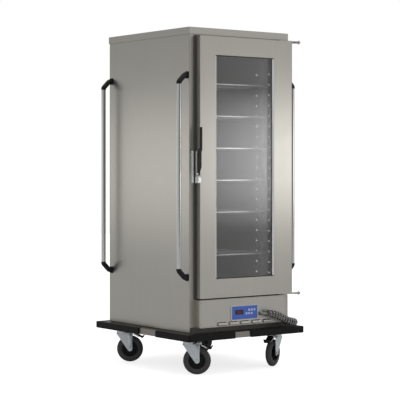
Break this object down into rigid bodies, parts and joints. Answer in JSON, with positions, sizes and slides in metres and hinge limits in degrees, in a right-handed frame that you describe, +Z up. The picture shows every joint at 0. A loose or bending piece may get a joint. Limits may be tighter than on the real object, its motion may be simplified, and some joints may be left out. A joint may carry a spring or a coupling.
{
  "type": "proofing cabinet",
  "caption": "Tall insulated proofing cabinet on swivel casters, with a glazed hinged door, wire shelves on slotted racks, a control box, push handles, a bumper base and a curly lead.",
  "frame": {"origin": "middle of the footprint on the floor, measured without the cord", "axes": "+Z up, -Y out of the door side, +X towards the hinge side"},
  "size_m": [0.8265, 0.9377, 1.867],
  "materials": {
    "stainless_outer": "fine vertical brush, satin",
    "stainless_inner": "bright mill finish",
    "shelf_wire": "polished wire",
    "grey_plastic": "matte moulded",
    "insulation_wool": "mineral wool, hidden",
    "pale_plastic": "matte moulded",
    "keypad_blue": "satin printed foil",
    "display_lens": "dark glossy lens",
    "key_light": "satin",
    "circuit_board": "solder mask",
    "heater_sheath": "oxidised steel sheath",
    "motor_steel": "grey enamel",
    "impeller_alloy": "pressed sheet",
    "chassis_steel": "satin",
    "bumper_rubber": "satin moulded rubber",
    "polished_tube": "polished stainless",
    "black_plastic": "satin moulded",
    "hinge_steel": "satin",
    "latch_chrome": "bright chrome plate",
    "door_glass": "clear tempered glass",
    "seal_rubber": "soft matte rubber",
    "cord_black": "matte cable sheath",
    "zinc_plate": "blue zinc plate",
    "hub_plastic": "moulded polyamide",
    "grey_tyre": "grey elastic rubber",
    "pedal_plastic": "moulded polyamide"
  },
  "bodies": {
    "cabinet": {"back_panel": "stainless_outer", "base_pan": "stainless_outer", "breaker_strip": "grey_plastic", "bumper_corners": "bumper_rubber", "chassis_frame": "chassis_steel", "control_board": "circuit_board", "control_housing": "stainless_outer", "cord_coil": "cord_black", "cord_gland": "cord_black", "cord_plug": "cord_black", "display_window": "display_lens", "fan_cover": "stainless_inner", "fan_motor": "motor_steel", "front_frame": "stainless_outer", "handle_elbows": "black_plastic", "handle_tubes": "polished_tube", "heater_element": "heater_sheath", "hinge_brackets": "hinge_steel", "inner_liner": "stainless_inner", "keypad_bezel": "pale_plastic", "keypad_panel": "keypad_blue", "latch_keeper": "latch_chrome", "roof_cap": "stainless_outer", "side_panel_left": "stainless_outer", "side_panel_right": "stainless_outer", "side_racks": "stainless_inner", "wall_insulation": "insulation_wool", "water_pan": "stainless_inner", "wire_shelves": "shelf_wire"},
    "door": {"door_skin": "stainless_outer", "door_pan": "stainless_inner", "window_panes": "door_glass", "window_bead": "seal_rubber", "door_gasket": "seal_rubber", "hinge_arms": "hinge_steel", "latch_body": "latch_chrome"},
    "latch": {"latch_lever": "black_plastic"},
    "fan": {"fan_impeller": "impeller_alloy"},
    "key_1_body": {"key_1": "key_light"},
    "key_2_body": {"key_2": "key_light"},
    "key_3_body": {"key_3": "key_light"},
    "key_4_body": {"key_4": "key_light"},
    "key_5_body": {"key_5": "key_light"},
    "key_6_body": {"key_6": "key_light"},
    "fork_front_left": {"caster_fork_front_left": "zinc_plate"},
    "wheel_front_left": {"caster_hub_front_left": "hub_plastic", "caster_tyre_front_left": "grey_tyre"},
    "brake_front_left": {"caster_pedal_front_left": "pedal_plastic"},
    "fork_front_right": {"caster_fork_front_right": "zinc_plate"},
    "wheel_front_right": {"caster_hub_front_right": "hub_plastic", "caster_tyre_front_right": "grey_tyre"},
    "brake_front_right": {"caster_pedal_front_right": "pedal_plastic"},
    "fork_rear_left": {"caster_fork_rear_left": "zinc_plate"},
    "wheel_rear_left": {"caster_hub_rear_left": "hub_plastic", "caster_tyre_rear_left": "grey_tyre"},
    "brake_rear_left": {"caster_pedal_rear_left": "pedal_plastic"},
    "fork_rear_right": {"caster_fork_rear_right": "zinc_plate"},
    "wheel_rear_right": {"caster_hub_rear_right": "hub_plastic", "caster_tyre_rear_right": "grey_tyre"},
    "brake_rear_right": {"caster_pedal_rear_right": "pedal_plastic"}
  },
  "joints": [
    {"name": "door_hinge", "type": "hinge", "parent": "cabinet", "child": "door", "pos_m": [0.4035, -0.4, 1.116], "axis": [0, 0, 1], "range_deg": [0, 255]},
    {"name": "latch_pull", "type": "hinge", "parent": "door", "child": "latch", "pos_m": [-0.31115, -0.418, 1.08], "axis": [1, 0, 0], "range_deg": [0, 25], "stiffness_Nm_per_rad": 1.2, "springref_deg": -5.73},
    {"name": "fan_spin", "type": "hinge", "parent": "cabinet", "child": "fan", "pos_m": [-0.0045, 0.22, 0.467], "axis": [0, 0, 1], "continuous": true},
    {"name": "key_1_press", "type": "slide", "parent": "cabinet", "child": "key_1_body", "axis": [0, 1, 0], "range_m": [0, 0.001], "stiffness_N_per_m": 400, "springref_m": -0.0005},
    {"name": "key_2_press", "type": "slide", "parent": "cabinet", "child": "key_2_body", "axis": [0, 1, 0], "range_m": [0, 0.001], "stiffness_N_per_m": 400, "springref_m": -0.0005},
    {"name": "key_3_press", "type": "slide", "parent": "cabinet", "child": "key_3_body", "axis": [0, 1, 0], "range_m": [0, 0.001], "stiffness_N_per_m": 400, "springref_m": -0.0005},
    {"name": "key_4_press", "type": "slide", "parent": "cabinet", "child": "key_4_body", "axis": [0, 1, 0], "range_m": [0, 0.001], "stiffness_N_per_m": 400, "springref_m": -0.0005},
    {"name": "key_5_press", "type": "slide", "parent": "cabinet", "child": "key_5_body", "axis": [0, 1, 0], "range_m": [0, 0.001], "stiffness_N_per_m": 400, "springref_m": -0.0005},
    {"name": "key_6_press", "type": "slide", "parent": "cabinet", "child": "key_6_body", "axis": [0, 1, 0], "range_m": [0, 0.001], "stiffness_N_per_m": 400, "springref_m": -0.0005},
    {"name": "swivel_front_left", "type": "hinge", "parent": "cabinet", "child": "fork_front_left", "pos_m": [-0.3095, -0.326, 0.17], "axis": [0, 0, 1], "continuous": true},
    {"name": "roll_front_left", "type": "hinge", "parent": "fork_front_left", "child": "wheel_front_left", "pos_m": [-0.27333, -0.35277, 0.075], "axis": [0.5948, 0.8039, 0], "continuous": true},
    {"name": "brake_front_left", "type": "hinge", "parent": "fork_front_left", "child": "brake_front_left", "pos_m": [-0.25725, -0.36466, 0.167], "axis": [0.5948, 0.8039, 0], "range_deg": [0, 10]},
    {"name": "swivel_front_right", "type": "hinge", "parent": "cabinet", "child": "fork_front_right", "pos_m": [0.3005, -0.326, 0.17], "axis": [0, 0, 1], "continuous": true},
    {"name": "roll_front_right", "type": "hinge", "parent": "fork_front_right", "child": "wheel_front_right", "pos_m": [0.25985, -0.3453, 0.075], "axis": [0.4289, -0.9033, 0], "continuous": true},
    {"name": "brake_front_right", "type": "hinge", "parent": "fork_front_right", "child": "brake_front_right", "pos_m": [0.24178, -0.35388, 0.167], "axis": [0.4289, -0.9033, 0], "range_deg": [0, 10]},
    {"name": "swivel_rear_left", "type": "hinge", "parent": "cabinet", "child": "fork_rear_left", "pos_m": [-0.3095, 0.323, 0.17], "axis": [0, 0, 1], "continuous": true},
    {"name": "roll_rear_left", "type": "hinge", "parent": "fork_rear_left", "child": "wheel_rear_left", "pos_m": [-0.27333, 0.29623, 0.075], "axis": [0.5948, 0.8039, 0], "continuous": true},
    {"name": "brake_rear_left", "type": "hinge", "parent": "fork_rear_left", "child": "brake_rear_left", "pos_m": [-0.25725, 0.28434, 0.167], "axis": [0.5948, 0.8039, 0], "range_deg": [0, 10]},
    {"name": "swivel_rear_right", "type": "hinge", "parent": "cabinet", "child": "fork_rear_right", "pos_m": [0.3005, 0.323, 0.17], "axis": [0, 0, 1], "continuous": true},
    {"name": "roll_rear_right", "type": "hinge", "parent": "fork_rear_right", "child": "wheel_rear_right", "pos_m": [0.26433, 0.34977, 0.075], "axis": [-0.5948, -0.8039, 0], "continuous": true},
    {"name": "brake_rear_right", "type": "hinge", "parent": "fork_rear_right", "child": "brake_rear_right", "pos_m": [0.24825, 0.36166, 0.167], "axis": [-0.5948, -0.8039, 0], "range_deg": [0, 10]}
  ]
}
